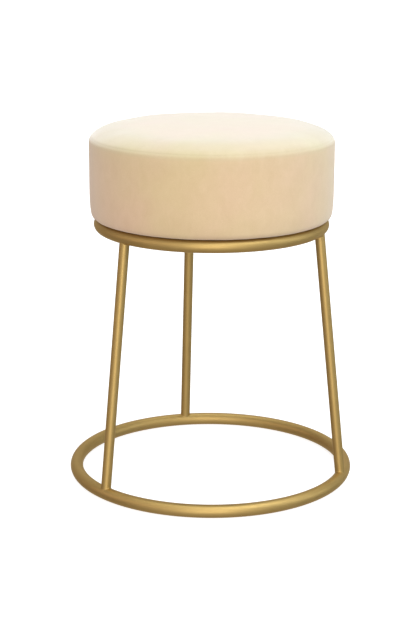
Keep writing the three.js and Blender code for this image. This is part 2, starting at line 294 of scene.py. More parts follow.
def velvet_material(name, sheen, sheen_roughness, tint):
    m, nt, b = new_material(name)
    obj = coords(nt, "Object")
    patches = noise_tex(nt, obj, 11, 2, 0.5, 0.3)       # leaning of the nap, hand-sized patches
    crush = noise_tex(nt, coords(nt, "Object", (62, 62, 44)), 1.0, 4, 0.6, 0.5)   # smaller brushed marks
    comb = noise_tex(nt, coords(nt, "Object", (260, 260, 90)), 1.0, 3, 0.6)        # fine combing down the side
    fleck = noise_tex(nt, obj, 1100, 2, 0.5)            # pile tufts
    base = ramp(nt, patches.outputs["Fac"], [(0.30, VELVET_GOLD), (0.5, VELVET_MID), (0.7, VELVET_PINK)])
    light = ramp(nt, crush.outputs["Fac"], [(0.30, (0.966, 0.953, 0.930)), (0.70, (1.022, 1.025, 1.029))])
    col = mix_rgb(nt, 1.0, base, light, "MULTIPLY")
    lines = ramp(nt, comb.outputs["Fac"], [(0.30, (0.992, 0.990, 0.986)), (0.70, (1.006, 1.006, 1.006))])
    col = mix_rgb(nt, 1.0, col, lines, "MULTIPLY")
    tuft = ramp(nt, fleck.outputs["Fac"], [(0.25, (0.90, 0.89, 0.87)), (0.75, (1.05, 1.05, 1.05))])
    col = mix_rgb(nt, 0.5, col, tuft, "MULTIPLY")
    # painted light: the base colour turns paler and less red up the roll and over the top panel, and lighter again at
    # the crown, standing in for the overhead light and grazing sheen falling there; partly also the real nap of the
    # top panel, which stands up while the band's is combed down
    sep = node(nt, "ShaderNodeSeparateXYZ")
    nt.links.new(obj, sep.inputs["Vector"])
    edge = math_node(nt, "ADD", sep.outputs["Z"], math_node(nt, "MULTIPLY", crush.outputs["Fac"], 0.0015))
    # painted top light: base-colour factors by height, paler and less red towards the crown
    painted_toplight_and_nap = ramp(nt, map_range(nt, edge, 0.4160, 0.4560, 0.0, 1.0),
                  [(0.0, (0.899, 0.899, 0.897)), (0.42, (0.886, 0.905, 0.904)), (0.612, (0.778, 0.885, 0.924)),
                   (0.772, (0.785, 0.903, 0.985)), (0.938, (0.795, 0.909, 0.998)), (0.988, (0.842, 0.909, 0.988))])
    col = mix_rgb(nt, 1.0, col, painted_toplight_and_nap, "MULTIPLY")
    nt.links.new(col, b.inputs["Base Color"])
    nt.links.new(map_range(nt, crush.outputs["Fac"], 0.3, 0.7, 0.84, 0.95), b.inputs["Roughness"])
    b.inputs["Specular IOR Level"].default_value = 0.15
    b.inputs["Sheen Weight"].default_value = sheen
    b.inputs["Sheen Roughness"].default_value = sheen_roughness
    b.inputs["Sheen Tint"].default_value = (*tint, 1)
    n1 = bump(nt, patches.outputs["Fac"], 0.05, 0.003)
    n2 = bump(nt, crush.outputs["Fac"], 0.07, 0.0010, n1)
    n3 = bump(nt, comb.outputs["Fac"], 0.03, 0.0003, n2)
    n4 = bump(nt, fleck.outputs["Fac"], 0.30, 0.00030, n3)
    nt.links.new(n4, b.inputs["Normal"])
    return m


def zinc_material():
    m, nt, b = new_material("zinc_plated_steel")
    obj = coords(nt, "Object")
    spangle = node(nt, "ShaderNodeTexVoronoi")
    spangle.inputs["Scale"].default_value = 900
    nt.links.new(obj, spangle.inputs["Vector"])
    cloud = noise_tex(nt, obj, 220, 4, 0.6)
    col = ramp(nt, cloud.outputs["Fac"], [(0.3, (0.52, 0.54, 0.57)), (0.7, (0.74, 0.75, 0.77))])
    col = mix_rgb(nt, 0.12, col, spangle.outputs["Color"], "SOFT_LIGHT")
    nt.links.new(col, b.inputs["Base Color"])
    nt.links.new(map_range(nt, cloud.outputs["Fac"], 0.3, 0.7, 0.26, 0.44), b.inputs["Roughness"])
    b.inputs["Metallic"].default_value = 1.0
    nt.links.new(bump(nt, cloud.outputs["Fac"], 0.15, 0.0001), b.inputs["Normal"])
    return m


def plywood_material():
    m, nt, b = new_material("birch_plywood")
    obj = coords(nt, "Object")
    grain = noise_tex(nt, coords(nt, "Object", (5, 90, 90)), 1.0, 6, 0.6, 0.5)
    fine = noise_tex(nt, coords(nt, "Object", (30, 700, 700)), 1.0, 3, 0.6)
    face = ramp(nt, grain.outputs["Fac"], [(0.3, (0.50, 0.345, 0.19)), (0.5, (0.62, 0.46, 0.275)), (0.72, (0.70, 0.545, 0.345))])
    # the plies show on the edge as bands 1.4 mm thick
    sep = node(nt, "ShaderNodeSeparateXYZ")
    nt.links.new(obj, sep.inputs["Vector"])
    band = math_node(nt, "FRACT", math_node(nt, "MULTIPLY", sep.outputs["Z"], 1000 / 2.8))
    plies = ramp(nt, band, [(0.0, (0.42, 0.28, 0.15)), (0.46, (0.44, 0.30, 0.16)), (0.54, (0.68, 0.53, 0.34)), (1.0, (0.66, 0.51, 0.32))])
    geo = node(nt, "ShaderNodeNewGeometry")
    sn = node(nt, "ShaderNodeSeparateXYZ")
    nt.links.new(geo.outputs["Normal"], sn.inputs["Vector"])
    flat = math_node(nt, "GREATER_THAN", math_node(nt, "ABSOLUTE", sn.outputs["Z"]), 0.7)
    col = mix_rgb(nt, flat, plies, face)
    col = mix_rgb(nt, 0.25, col, fine.outputs["Color"], "SOFT_LIGHT")
    nt.links.new(col, b.inputs["Base Color"])
    nt.links.new(map_range(nt, fine.outputs["Fac"], 0.3, 0.7, 0.62, 0.82), b.inputs["Roughness"])
    nt.links.new(bump(nt, fine.outputs["Fac"], 0.2, 0.0002), b.inputs["Normal"])
    return m


def pine_material():
    m, nt, b = new_material("sawn_pine")
    vec = coords(nt, "Object", (60, 60, 4))
    rings = node(nt, "ShaderNodeTexWave", wave_type="BANDS", bands_direction="X")
    rings.inputs["Scale"].default_value = 1.2
    rings.inputs["Distortion"].default_value = 6
    rings.inputs["Detail"].default_value = 3
    nt.links.new(vec, rings.inputs["Vector"])
    fine = noise_tex(nt, coords(nt, "Object", (500, 500, 30)), 1.0, 3, 0.6)
    col = ramp(nt, rings.outputs["Fac"], [(0.0, (0.50, 0.31, 0.14)), (0.4, (0.66, 0.48, 0.27)), (1.0, (0.74, 0.58, 0.36))])
    col = mix_rgb(nt, 0.3, col, fine.outputs["Color"], "SOFT_LIGHT")
    nt.links.new(col, b.inputs["Base Color"])
    nt.links.new(map_range(nt, fine.outputs["Fac"], 0.3, 0.7, 0.65, 0.85), b.inputs["Roughness"])
    nt.links.new(bump(nt, fine.outputs["Fac"], 0.3, 0.0002), b.inputs["Normal"])
    return m


def foam_material():
    m, nt, b = new_material("polyurethane_foam")
    obj = coords(nt, "Object")
    cell = node(nt, "ShaderNodeTexVoronoi", feature="SMOOTH_F1")
    cell.inputs["Scale"].default_value = 700
    nt.links.new(obj, cell.inputs["Vector"])
    cloud = noise_tex(nt, obj, 26, 3, 0.5)
    col = ramp(nt, cloud.outputs["Fac"], [(0.3, (0.80, 0.73, 0.55)), (0.7, (0.88, 0.83, 0.68))])
    pores = ramp(nt, cell.outputs["Distance"], [(0.1, (0.72, 0.70, 0.66)), (0.55, (1, 1, 1))])
    col = mix_rgb(nt, 1.0, col, pores, "MULTIPLY")
    nt.links.new(col, b.inputs["Base Color"])
    nt.links.new(map_range(nt, cell.outputs["Distance"], 0.0, 0.6, 0.98, 0.86), b.inputs["Roughness"])
    nt.links.new(bump(nt, cell.outputs["Distance"], 0.5, 0.0006), b.inputs["Normal"])
    return m


def nonwoven_material():
    m, nt, b = new_material("black_nonwoven_cloth")
    obj = coords(nt, "Object")
    # the bonding dots lie in a slanted grid 1.6 mm apart
    grid = coords(nt, "Object", (1, 1, 1), (0, 0, math.radians(45)))
    sep = node(nt, "ShaderNodeSeparateXYZ")
    nt.links.new(grid, sep.inputs["Vector"])
    sx = math_node(nt, "SINE", math_node(nt, "MULTIPLY", sep.outputs["X"], TAU / 0.0016))
    sy = math_node(nt, "SINE", math_node(nt, "MULTIPLY", sep.outputs["Y"], TAU / 0.0016))
    dots = math_node(nt, "MULTIPLY", sx, sy)
    fibre = noise_tex(nt, coords(nt, "Object", (900, 260, 500)), 1.0, 5, 0.7, 1.5)
    cloud = noise_tex(nt, obj, 30, 3, 0.5)
    col = ramp(nt, fibre.outputs["Fac"], [(0.3, (0.010, 0.010, 0.011)), (0.55, (0.022, 0.022, 0.024)), (0.75, (0.050, 0.050, 0.053))])
    shade = ramp(nt, cloud.outputs["Fac"], [(0.3, (0.8, 0.8, 0.8)), (0.7, (1.15, 1.15, 1.15))])
    col = mix_rgb(nt, 1.0, col, shade, "MULTIPLY")
    nt.links.new(col, b.inputs["Base Color"])
    nt.links.new(map_range(nt, fibre.outputs["Fac"], 0.3, 0.7, 0.72, 0.95), b.inputs["Roughness"])
    b.inputs["Sheen Weight"].default_value = 0.15
    b.inputs["Sheen Roughness"].default_value = 0.5
    n1 = bump(nt, dots, 0.35, 0.00025)
    nt.links.new(bump(nt, fibre.outputs["Fac"], 0.35, 0.0002, n1), b.inputs["Normal"])
    return m


GOLD = gold_material()
VELVET = velvet_material("cream_velvet_band", 0.40, 0.60, (1.0, 0.955, 0.93))
VELVET_ROLL_LOW = velvet_material("cream_velvet_roll_low", 0.57, 0.57, (1.0, 0.97, 0.95))
VELVET_ROLL_HIGH = velvet_material("cream_velvet_roll_high", 0.75, 0.54, (1.0, 0.99, 0.975))
VELVET_TOP = velvet_material("cream_velvet_top", 0.90, 0.50, (1.0, 1.0, 1.0))
ZINC = zinc_material()
PLY = plywood_material()
PINE = pine_material()
FOAM = foam_material()
NONWOVEN = nonwoven_material()
BY_SLOT = {"gold_steel": GOLD, "velvet": VELVET, "zinc_steel": ZINC, "plywood": PLY,
           "pine": PINE, "foam": FOAM, "nonwoven": NONWOVEN}

for sub in frame["record"]["subparts"]:
    ob = frame["nodes"].get(sub["node"])
    if ob is not None:
        for s in ob.material_slots:
            s.material = BY_SLOT[sub["material_slot"]]


# ------------------------------------------------------------------ frame

def ring(name, R, z, nu, nv=48):
    u = np.arange(nu) * TAU / nu
    v = np.arange(nv) * TAU / nv
    U, V = np.meshgrid(u, v, indexing="ij")
    rad = R + RING_TUBE * np.cos(V)
    pts = np.stack([rad * np.cos(U), rad * np.sin(U), z + RING_TUBE * np.sin(V)], -1)
    ue, ve = np.meshgrid(np.arange(nu + 1) * TAU / nu * R, np.arange(nv + 1) * TAU / nv * RING_TUBE, indexing="ij")
    return grid_object(name, pts, True, True, np.stack([ue, ve], -1))


place(ring("base_ring_tube", BASE_R, BASE_Z, 360), GOLD, "base_ring", slot="gold_steel")
place(ring("top_ring_tube", TOP_R, TOP_Z, 320), GOLD, "top_ring", slot="gold_steel")

FOOT = np.array([BASE_R, 0, BASE_Z])
HEAD = np.array([TOP_R, 0, TOP_Z])
AXIS = (HEAD - FOOT) / np.linalg.norm(HEAD - FOOT)
SIDE_W = np.array([0.0, 1.0, 0.0])
OUT_W = np.cross(SIDE_W, AXIS)
LEG_LEN = float(np.linalg.norm(HEAD - FOOT))


def leave_ring(R, z, phi, rho, end):
    """How far along the leg from that end the wall of radius rho leaves the ring's tube, for each angle phi."""
    sign = 1 if end == 0 else -1
    start = FOOT if end == 0 else HEAD
    d = np.outer(np.cos(phi), OUT_W) + np.outer(np.sin(phi), SIDE_W)
    lo, hi = np.zeros(len(phi)), np.full(len(phi), 24.0)
    for _ in range(40):
        mid = (lo + hi) / 2
        p = start + sign * mid[:, None] * AXIS + d * rho
        dist = np.hypot(np.hypot(p[:, 0], p[:, 1]) - R, p[:, 2] - z) - RING_TUBE
        inside = dist < 0
        lo, hi = np.where(inside, mid, lo), np.where(inside, hi, mid)
    return (lo + hi) / 2


def leg(name, degrees, seed):
    n = 72
    phi = np.arange(n) * TAU / n
    wob = waves(seed, 6, 1, 7, 0, 0)(phi, 0)
    fil = 0.85 + 0.12 * wob           # smoothed weld fillet, a little uneven
    steps = np.radians([90, 72, 54, 38, 24, 10, 0])
    rows = []
    for end in (0, 1):
        R, z = (BASE_R, BASE_Z) if end == 0 else (TOP_R, TOP_Z)
        part = []
        for t in steps:
            rho = LEG_TUBE + fil * (1 - np.cos(t))
            s = np.array([leave_ring(R, z, phi[i:i + 1], rho[i], end)[0] for i in range(n)])
            s = s + fil * (1 - np.sin(t)) - (0.12 if t > 1.5 else 0)
            along = s if end == 0 else LEG_LEN - s
            part.append((rho, along))
        rows.append(part)
    lo, hi = rows[0][-1][1], rows[1][-1][1]
    straight = [(np.full(n, LEG_TUBE), lo + (hi - lo) * f) for f in (0.02, 0.25, 0.5, 0.75, 0.98)]
    all_rows = rows[0] + straight + rows[1][::-1]
    d = np.outer(np.cos(phi), OUT_W) + np.outer(np.sin(phi), SIDE_W)
    pts = np.stack([FOOT + a[:, None] * AXIS + d * r[:, None] for r, a in all_rows], 1)
    uv = np.zeros((n + 1, len(all_rows), 2))
    for j, (r, a) in enumerate(all_rows):
        uv[:n, j, 0] = a
        uv[n, j, 0] = a[0]
        uv[:, j, 1] = np.arange(n + 1) * TAU / n * LEG_TUBE
    ob = grid_object(name, rot_z(pts, degrees), True, False, uv)
    return close_ends(ob, n, len(all_rows), rot_z(np.array([FOOT, HEAD]), degrees))


for k, (name, degrees) in enumerate(LEGS.items()):
    place(leg(name + "_tube", degrees, 11 + k), GOLD, name, slot="gold_steel")


def lug(name, degrees, seed):
    """Flat lug with a round end and a bolt hole."""
    bm = bmesh.new()
    # outline and hole share their angles about the bolt, so that the flat faces are made of even quads
    far = math.sqrt((TOP_R - 3.6) ** 2 - LUG_HALF ** 2) - BOLT_AT
    corner = math.atan2(LUG_HALF, far)
    angles = np.concatenate([np.linspace(-corner, corner, 12, endpoint=False), np.linspace(corner, math.pi / 2, 7, endpoint=False),
                             np.linspace(math.pi / 2, 1.5 * math.pi, 24, endpoint=False), np.linspace(1.5 * math.pi, TAU - corner, 7, endpoint=False)])
    out, hole = [], []
    for a in angles:
        c, si = math.cos(a), math.sin(a)
        if c <= 1e-9:
            reach = LUG_HALF
        elif abs(math.atan2(si, c)) >= corner - 1e-9:
            reach = LUG_HALF / abs(si)
        else:
            reach = -BOLT_AT * c + math.sqrt((TOP_R - 3.6) ** 2 - (BOLT_AT * si) ** 2)
        out.append((BOLT_AT + reach * c, reach * si))
        hole.append((BOLT_AT + 3.4 * c, 3.4 * si))
    top, bot = LUG_TOP, LUG_TOP - LUG_THICK
    lv = [[[bm.verts.new((x, y, z)) for x, y in pts] for z in (bot, top)] for pts in (out, hole)]
    k = len(angles)
    for i in range(k):
        j = (i + 1) % k
        for a, b in ((lv[0][0], lv[0][1]), (lv[0][1], lv[1][1]), (lv[1][1], lv[1][0]), (lv[1][0], lv[0][0])):
            bm.faces.new((a[i], a[j], b[j], b[i]))
    bmesh.ops.recalc_face_normals(bm, faces=bm.faces)
    for v in bm.verts:
        v.co = Vector(rot_z(tuple(v.co), degrees)) * MM
    me = bpy.data.meshes.new(name)
    bm.to_mesh(me)
    bm.free()
    ob = bpy.data.objects.new(name, me)
    bpy.context.collection.objects.link(ob)
    layer = me.uv_layers.new(name="UVMap")
    for loop in me.loops:
        c = me.vertices[loop.vertex_index].co
        layer.data[loop.index].uv = (c.x + c.z, c.y)
    bevel(ob, 0.35, 2)
    return ob


def weld_bead(name, degrees, seed):
    """The bead under a lug where it meets the ring, a row of overlapping puddles."""
    n, k = 90, 14
    y = np.linspace(-LUG_HALF + 0.6, LUG_HALF - 0.6, n)
    z = LUG_TOP - LUG_THICK - 0.1
    dz = z - TOP_Z
    R = TOP_R - math.sqrt(RING_TUBE ** 2 - dz ** 2) + 0.2
    x = np.sqrt(R ** 2 - y ** 2)
    wob = waves(seed, 5, 1, 5, 0, 0)(np.linspace(0, TAU, n), 0)
    r = 1.35 + 0.22 * np.abs(np.sin(y * math.pi / 1.9)) + 0.1 * wob
    fade = np.minimum(1, np.minimum(np.arange(n), np.arange(n)[::-1]) / 5.0)
    r = r * np.sqrt(np.clip(fade, 0.02, 1))
    a = np.arange(k) * TAU / k
    pts = np.stack([
        x[:, None] + r[:, None] * np.cos(a)[None], np.broadcast_to(y[:, None], (n, k)),
        z + 0.25 + r[:, None] * np.sin(a)[None],
    ], -1)
    uv = np.stack(np.meshgrid(np.arange(k + 1) * 0.6, y, indexing="ij"), -1)
    ob = grid_object(name, rot_z(pts, degrees).swapaxes(0, 1), True, False, uv)
    return close_ends(ob, k, n, rot_z(pts.mean(1)[[0, -1]], degrees))


def revolve(name, profile, degrees, at=BOLT_AT, n=48, closed=False):
    """profile [(radius, z)] turned about the upright axis through a lug's hole."""
    a = np.arange(n) * TAU / n
    prof = np.array(profile, float)
    pts = np.stack([
        at + prof[None, :, 0] * np.cos(a)[:, None], prof[None, :, 0] * np.sin(a)[:, None],
        np.broadcast_to(prof[None, :, 1], (n, len(prof))),
    ], -1)
    ob = grid_object(name, rot_z(pts, degrees), True, closed)
    bm = bmesh.new()
    bm.from_mesh(ob.data)
    bmesh.ops.remove_doubles(bm, verts=bm.verts, dist=1e-7)
    bmesh.ops.recalc_face_normals(bm, faces=bm.faces)
    bm.to_mesh(ob.data)
    bm.free()
    return ob


WASHER_Z = LUG_TOP - LUG_THICK - 0.3 - 1.6
HEAD_Z = WASHER_Z - 0.3


def bolt(name, degrees):
    """Button head with a 4 mm hexagon socket, and its shank with rolled thread ridges."""
    n = 72
    a = np.arange(n) * TAU / n
    rows = []
    z0 = HEAD_Z - 3.3

    def circle(r, z):
        rows.append((np.full(n, r), np.full(n, z)))

    def hexagon(apothem, z):
        rows.append((apothem / np.cos((a % (math.pi / 3)) - math.pi / 6), np.full(n, z)))

    rows.append((np.full(n, 0.0), np.full(n, z0 + 2.3)))
    hexagon(1.2, z0 + 2.05)
    hexagon(1.96, z0 + 1.9)
    hexagon(2.0, z0 + 1.8)
    hexagon(2.0, z0 + 0.22)
    hexagon(2.2, z0)
    circle(2.75, z0 - 0.0)
    for t in np.radians([14, 28, 42, 56, 70, 82]):
        circle(2.75 + 2.5 * math.sin(t), z0 + 2.7 * (1 - math.cos(t)))
    circle(5.25, z0 + 2.75)
    circle(5.25, z0 + 3.2)
    circle(5.12, z0 + 3.3)
    circle(3.1, z0 + 3.3)
    turns = 18
    for i in range(turns * 2):
        circle(3.0 if i % 2 == 0 else 2.72, z0 + 4.3 + 0.45 * i)
    circle(2.5, HEAD_Z + 20)
    rows.append((np.full(n, 0.0), np.full(n, HEAD_Z + 20.0)))
    pts = np.stack([
        np.stack([BOLT_AT + r * np.cos(a), r * np.sin(a), z], -1) for r, z in rows
    ], 1)
    ob = grid_object(name, rot_z(pts, degrees), True, False)
    bm = bmesh.new()
    bm.from_mesh(ob.data)
    bmesh.ops.remove_doubles(bm, verts=bm.verts, dist=1e-7)
    bmesh.ops.recalc_face_normals(bm, faces=bm.faces)
    bm.to_mesh(ob.data)
    bm.free()
    return ob


for k, (where, degrees) in enumerate(LUGS.items()):
    place(lug(f"lug_plate_{where}", degrees, k), GOLD, f"seat_lug_{where}", slot="gold_steel")
    place(weld_bead(f"lug_weld_{where}", degrees, 31 + k), GOLD, slot="gold_steel")
    place(bolt(f"button_head_bolt_{where}", degrees), ZINC, f"seat_bolt_{where}", slot="zinc_steel")
    z, t = WASHER_Z, 1.6
    place(revolve(f"flat_washer_{where}", [
        (3.35, z + 0.15), (3.5, z), (6.0, z), (6.2, z + 0.2), (6.2, z + t - 0.15), (6.05, z + t), (3.5, z + t), (3.35, z + t - 0.15),
    ], degrees, closed=True), ZINC, f"seat_washer_{where}", slot="zinc_steel")


# ------------------------------------------------------------------- seat

def smooth_profile(points, step):
    """Centripetal spline through [(r, z)], resampled about every step millimetres."""
    p = np.array(points, float)
    p = np.vstack([2 * p[0] - p[1], p, 2 * p[-1] - p[-2]])
    out = []
    for i in range(1, len(p) - 2):
        p0, p1, p2, p3 = p[i - 1], p[i], p[i + 1], p[i + 2]
        t0 = 0.0
        t1 = t0 + math.sqrt(np.linalg.norm(p1 - p0))
        t2 = t1 + math.sqrt(np.linalg.norm(p2 - p1))
        t3 = t2 + math.sqrt(np.linalg.norm(p3 - p2))
        for t in np.linspace(t1, t2, 40, endpoint=False):
            a1 = (t1 - t) / (t1 - t0) * p0 + (t - t0) / (t1 - t0) * p1
            a2 = (t2 - t) / (t2 - t1) * p1 + (t - t1) / (t2 - t1) * p2
            a3 = (t3 - t) / (t3 - t2) * p2 + (t - t2) / (t3 - t2) * p3
            b1 = (t2 - t) / (t2 - t0) * a1 + (t - t0) / (t2 - t0) * a2
            b2 = (t3 - t) / (t3 - t1) * a2 + (t - t1) / (t3 - t1) * a3
            out.append((t2 - t) / (t2 - t1) * b1 + (t - t1) / (t2 - t1) * b2)
    out.append(p[-2])
    out = np.array(out)
    s = np.concatenate([[0], np.cumsum(np.linalg.norm(np.diff(out, axis=0), axis=1))])
    return out, s


SEAT_OUTLINE = [
    (118, 338.25), (130, 338.25), (139, 338.2), (144.5, 338.25), (147.7, 339.0), (150.4, 340.9), (152.0, 343.6),
    (152.7, 347.5), (153.2, 351.5), (153.6, 357), (153.9, 365), (154.0, 380), (154.0, 400), (154.0, 420),
    (154.0, 428), (154.0, 431.5), (153.9, 434.4), (153.5, 436.8), (152.7, 438.9), (151.5, 440.8), (149.9, 442.5),
    (147.8, 444.1), (145.0, 445.8), (141.5, 447.5), (137.0, 449.3), (131.0, 451.0), (124, 452.3), (114, 453.4),
    (100, 454.3), (82, 455.0), (62, 455.6), (42, 456.05), (22, 456.3), (6, 456.4),
]
SEAM = (152.3, 439.6)  # where the round top panel is sewn to the side band


def settle_cover(theta, R, Z, voxel=5.0, frames=18):
    """The cover blown up against its foam for a moment with the staples holding: how much further out than
    the average of its height it ends, in millimetres, at each theta and (R, Z) of the outline."""
    n = 180
    a = np.arange(n) * TAU / n
    # a little smaller than the seat, because it swells
    prof = [(0.0, 340.0)] + [(r - 1.2 * (r > 20), z + (1.2 if z < 345 else -1.2)) for r, z in SEAT_OUTLINE] + [(0.0, 455.2)]
    bm = bmesh.new()
    rings = []
    for r, z in prof:
        rings.append([bm.verts.new((0, 0, z * MM))] * n if r == 0 else
                     [bm.verts.new((r * MM * math.cos(t), r * MM * math.sin(t), z * MM)) for t in a])
    for lo, hi in zip(rings, rings[1:]):
        for i in range(n):
            k = (i + 1) % n
            bm.faces.new(list(dict.fromkeys((lo[i], lo[k], hi[k], hi[i]))))
    bmesh.ops.recalc_face_normals(bm, faces=bm.faces)
    me = bpy.data.meshes.new("cover_net")
    bm.to_mesh(me)
    bm.free()
    ob = bpy.data.objects.new("cover_net", me)
    bpy.context.collection.objects.link(ob)
    m = ob.modifiers.new("net", "REMESH")
    m.mode, m.voxel_size = "VOXEL", voxel * MM
    net = bpy.data.meshes.new_from_object(ob.evaluated_get(bpy.context.evaluated_depsgraph_get()))
    ob.modifiers.clear()
    ob.data = net
    count = len(net.vertices)
    flat = np.empty(count * 3, np.float32)
    net.vertices.foreach_get("co", flat)
    start = flat.reshape(-1, 3).astype(float) / MM
    net.vertices.foreach_get("normal", flat)
    outward = flat.reshape(-1, 3).astype(float)
    rad = np.hypot(start[:, 0], start[:, 1])
    ang = np.arctan2(start[:, 1], start[:, 0])
    # held all over the middle of the underside, and at the staples
    to_staple = np.abs((ang - math.radians(42) + TAU / 30) % (TAU / 15) - TAU / 30) * rad
    held = (start[:, 2] < 343) & ((rad < 124) | ((rad < 131) & (to_staple < 7)))
    ob.vertex_groups.new(name="stapled").add([int(i) for i in np.flatnonzero(held)], 1.0, "REPLACE")
    # the foam is firmer in some places than in others
    firm = ob.vertex_groups.new(name="firmness")
    for i, w in enumerate(np.clip(0.82 + 0.18 * lumps(3, 14, 55, 140)(start), 0.4, 1.0)):
        firm.add([i], float(w), "REPLACE")
    c = ob.modifiers.new("swell", "CLOTH")
    st = c.settings
    st.quality, st.mass = 5, 0.3
    st.tension_stiffness = st.compression_stiffness = 15
    st.shear_stiffness, st.bending_stiffness = 15, 0.8
    st.use_pressure, st.uniform_pressure_force = True, 4
    st.vertex_group_pressure, st.vertex_group_mass = "firmness", "stapled"
    st.effector_weights.gravity = 0
    c.collision_settings.use_collision = False
    c.point_cache.frame_start, c.point_cache.frame_end = 1, frames
    for frame_no in range(1, frames + 1):
        scene.frame_set(frame_no)
    moved = ob.evaluated_get(bpy.context.evaluated_depsgraph_get()).data
    moved.vertices.foreach_get("co", flat)
    out = ((flat.reshape(-1, 3) / MM - start) * outward).sum(1)
    scene.frame_set(1)
    bpy.data.objects.remove(ob)
    out = np.clip(out, -16, 16)          # no place moves further than this
    # read it back on the seat's own grid with a soft brush a finger wide
    nearest = np.argmin((rad[:, None] - R[None]) ** 2 + (start[:, 2][:, None] - Z[None]) ** 2, 1)
    along = np.concatenate([[0], np.cumsum(np.hypot(np.diff(R), np.diff(Z)))])
    brush = 9.0
    turn = (theta[:, None] - ang[None] + math.pi) % TAU - math.pi
    wt = np.exp(-0.5 * (turn * rad[None] / brush) ** 2)
    ws = np.exp(-0.5 * ((along[:, None] - along[nearest][None]) / brush) ** 2)
    field = ((wt * out) @ ws.T) / np.maximum(wt @ ws.T, 1e-9)
    field = field - field.mean(0, keepdims=True)
    return field * np.clip((Z - 341) / 12, 0, 1)[None]


def seat_cover():
    prof, s = smooth_profile(SEAT_OUTLINE, 2)
    # closer rows at the hem and the sewn edge than on the flat stretches
    seam_s = s[np.argmin(np.hypot(prof[:, 0] - SEAM[0], prof[:, 1] - SEAM[1]))]
    hem_s = s[np.argmin(np.hypot(prof[:, 0] - 150, prof[:, 1] - 340.2))]
    density = 1 / (4.2 - 3.5 * np.exp(-((s - seam_s) / 4.5) ** 2) - 2.6 * np.exp(-((s - hem_s) / 10) ** 2))
    cum = np.concatenate([[0], np.cumsum((density[1:] + density[:-1]) / 2 * np.diff(s))])
    rows = int(cum[-1]) + 1
    pick = np.interp(np.linspace(0, cum[-1], rows), cum, s)
    R = np.interp(pick, s, prof[:, 0])
    Z = np.interp(pick, s, prof[:, 1])
    tan = np.stack([np.gradient(R, pick), np.gradient(Z, pick)], -1)
    tan /= np.linalg.norm(tan, axis=1)[:, None]
    nr, nz = tan[:, 1], -tan[:, 0]           # outward normal in the profile plane

    n = 320
    th = np.arange(n) * TAU / n
    T, S = np.meshgrid(th, pick, indexing="ij")
    skin = np.stack([R[None, :] * np.cos(T), R[None, :] * np.sin(T), np.broadcast_to(Z[None, :], T.shape)], -1)
    # the foam is a little uneven, never more than a few tenths
    off = np.clip(0.3 * settle_cover(th, R, Z), -0.4, 0.4)
    off = off + 0.05 * lumps(4, 16, 18, 40)(skin)
    # the top stands a little higher at the back
    off += 1.1 * np.clip((Z - 437) / 9, 0, 1)[None, :] * (R[None, :] / 150) ** 2 * np.exp(-((T - math.radians(83)) / math.radians(36)) ** 2)
    # sewn edge: a narrow dip with the cloth rounding up to either side, slightly puckered
    g = S - seam_s
    pucker = waves(5, 10, 40, 90, 0, 0)(T, 0)
    off += -0.20 * np.exp(-(g / 0.8) ** 2) * (1 + 0.2 * pucker) + 0.06 * np.exp(-((np.abs(g) - 2.6) / 1.6) ** 2)
    # the hem is pulled in at each staple
    pull = np.cos(15 * (T - math.radians(42)))
    hem = np.exp(-((S - hem_s) / 9) ** 2)
    off += -0.16 * hem * np.clip(pull, 0, 1) ** 3 + 0.05 * hem * waves(6, 8, 20, 60, 0, 0)(T, 0)
    # gathers in the turned-in cloth under the board, deeper towards its cut edge
    under = (np.clip((136.5 - R) / 18.5, 0, 1) * (Z < 345))[None, :]
    phase = 0.9 * waves(7, 5, 1, 6, 0, 0)(T, 0)
    gather = np.clip(np.cos(46 * T + 6 * phase), -0.2, 1) ** 2
    off += 0.55 * under * gather
    rr = R[None, :] + off * nr[None, :]
    zz = Z[None, :] + off * nz[None, :]
    pts = np.stack([rr * np.cos(T), rr * np.sin(T), zz], -1)
    ue = np.arange(n + 1)[:, None] * TAU / n * 154 * np.ones((1, rows))
    ve = np.ones((n + 1, 1)) * pick[None, :]
    ob = grid_object("velvet_cover", pts, True, False, np.stack([ue, ve], -1))
    bm = bmesh.new()
    bm.from_mesh(ob.data)
    bm.verts.ensure_lookup_table()
    last = [bm.verts[i * rows + rows - 1] for i in range(n)]
    bm.faces.new(last)
    bmesh.ops.recalc_face_normals(bm, faces=bm.faces)
    top = max(bm.faces, key=lambda f: f.calc_center_median().z)
    if top.normal.z < 0:
        bmesh.ops.reverse_faces(bm, faces=bm.faces)
    for f in bm.faces:
        f.smooth = True
    bm.to_mesh(ob.data)
    bm.free()
    sol = ob.modifiers.new("cloth_thickness", "SOLIDIFY")
    sol.thickness, sol.offset = 0.9 * MM, -1
    return ob


cover = place(seat_cover(), VELVET, "seat_cover", slot="velvet")
# the nap lifts step by step over the roll of the edge
ROLL = [436.0, 439.0, 442.2]
for m in (VELVET_ROLL_LOW, VELVET_ROLL_HIGH, VELVET_TOP):
    cover.data.materials.append(m)
for f in cover.data.polygons:
    f.material_index = sum(f.center.z > z * MM for z in ROLL)


def foam_piece(name, profile, seed, closed, n=160):
    prof = np.array(profile, float)
    th = np.arange(n) * TAU / n
    T, Jr = np.meshgrid(th, np.arange(len(prof)), indexing="ij")
    wob = 0.18 * waves(seed, 10, 3, 24, 0.2, 0.9)(T, Jr)
    rr = np.where(prof[None, :, 0] > 1, prof[None, :, 0] - 0.2 + wob * (prof[None, :, 0] > 146), prof[None, :, 0])
    pts = np.stack([rr * np.cos(T), rr * np.sin(T), np.broadcast_to(prof[None, :, 1], rr.shape)], -1)
    ob = grid_object(name, pts, True, closed)
    bm = bmesh.new()
    bm.from_mesh(ob.data)
    bmesh.ops.remove_doubles(bm, verts=bm.verts, dist=1e-7)
    bmesh.ops.recalc_face_normals(bm, faces=bm.faces)
    bm.to_mesh(ob.data)
    bm.free()
    return ob


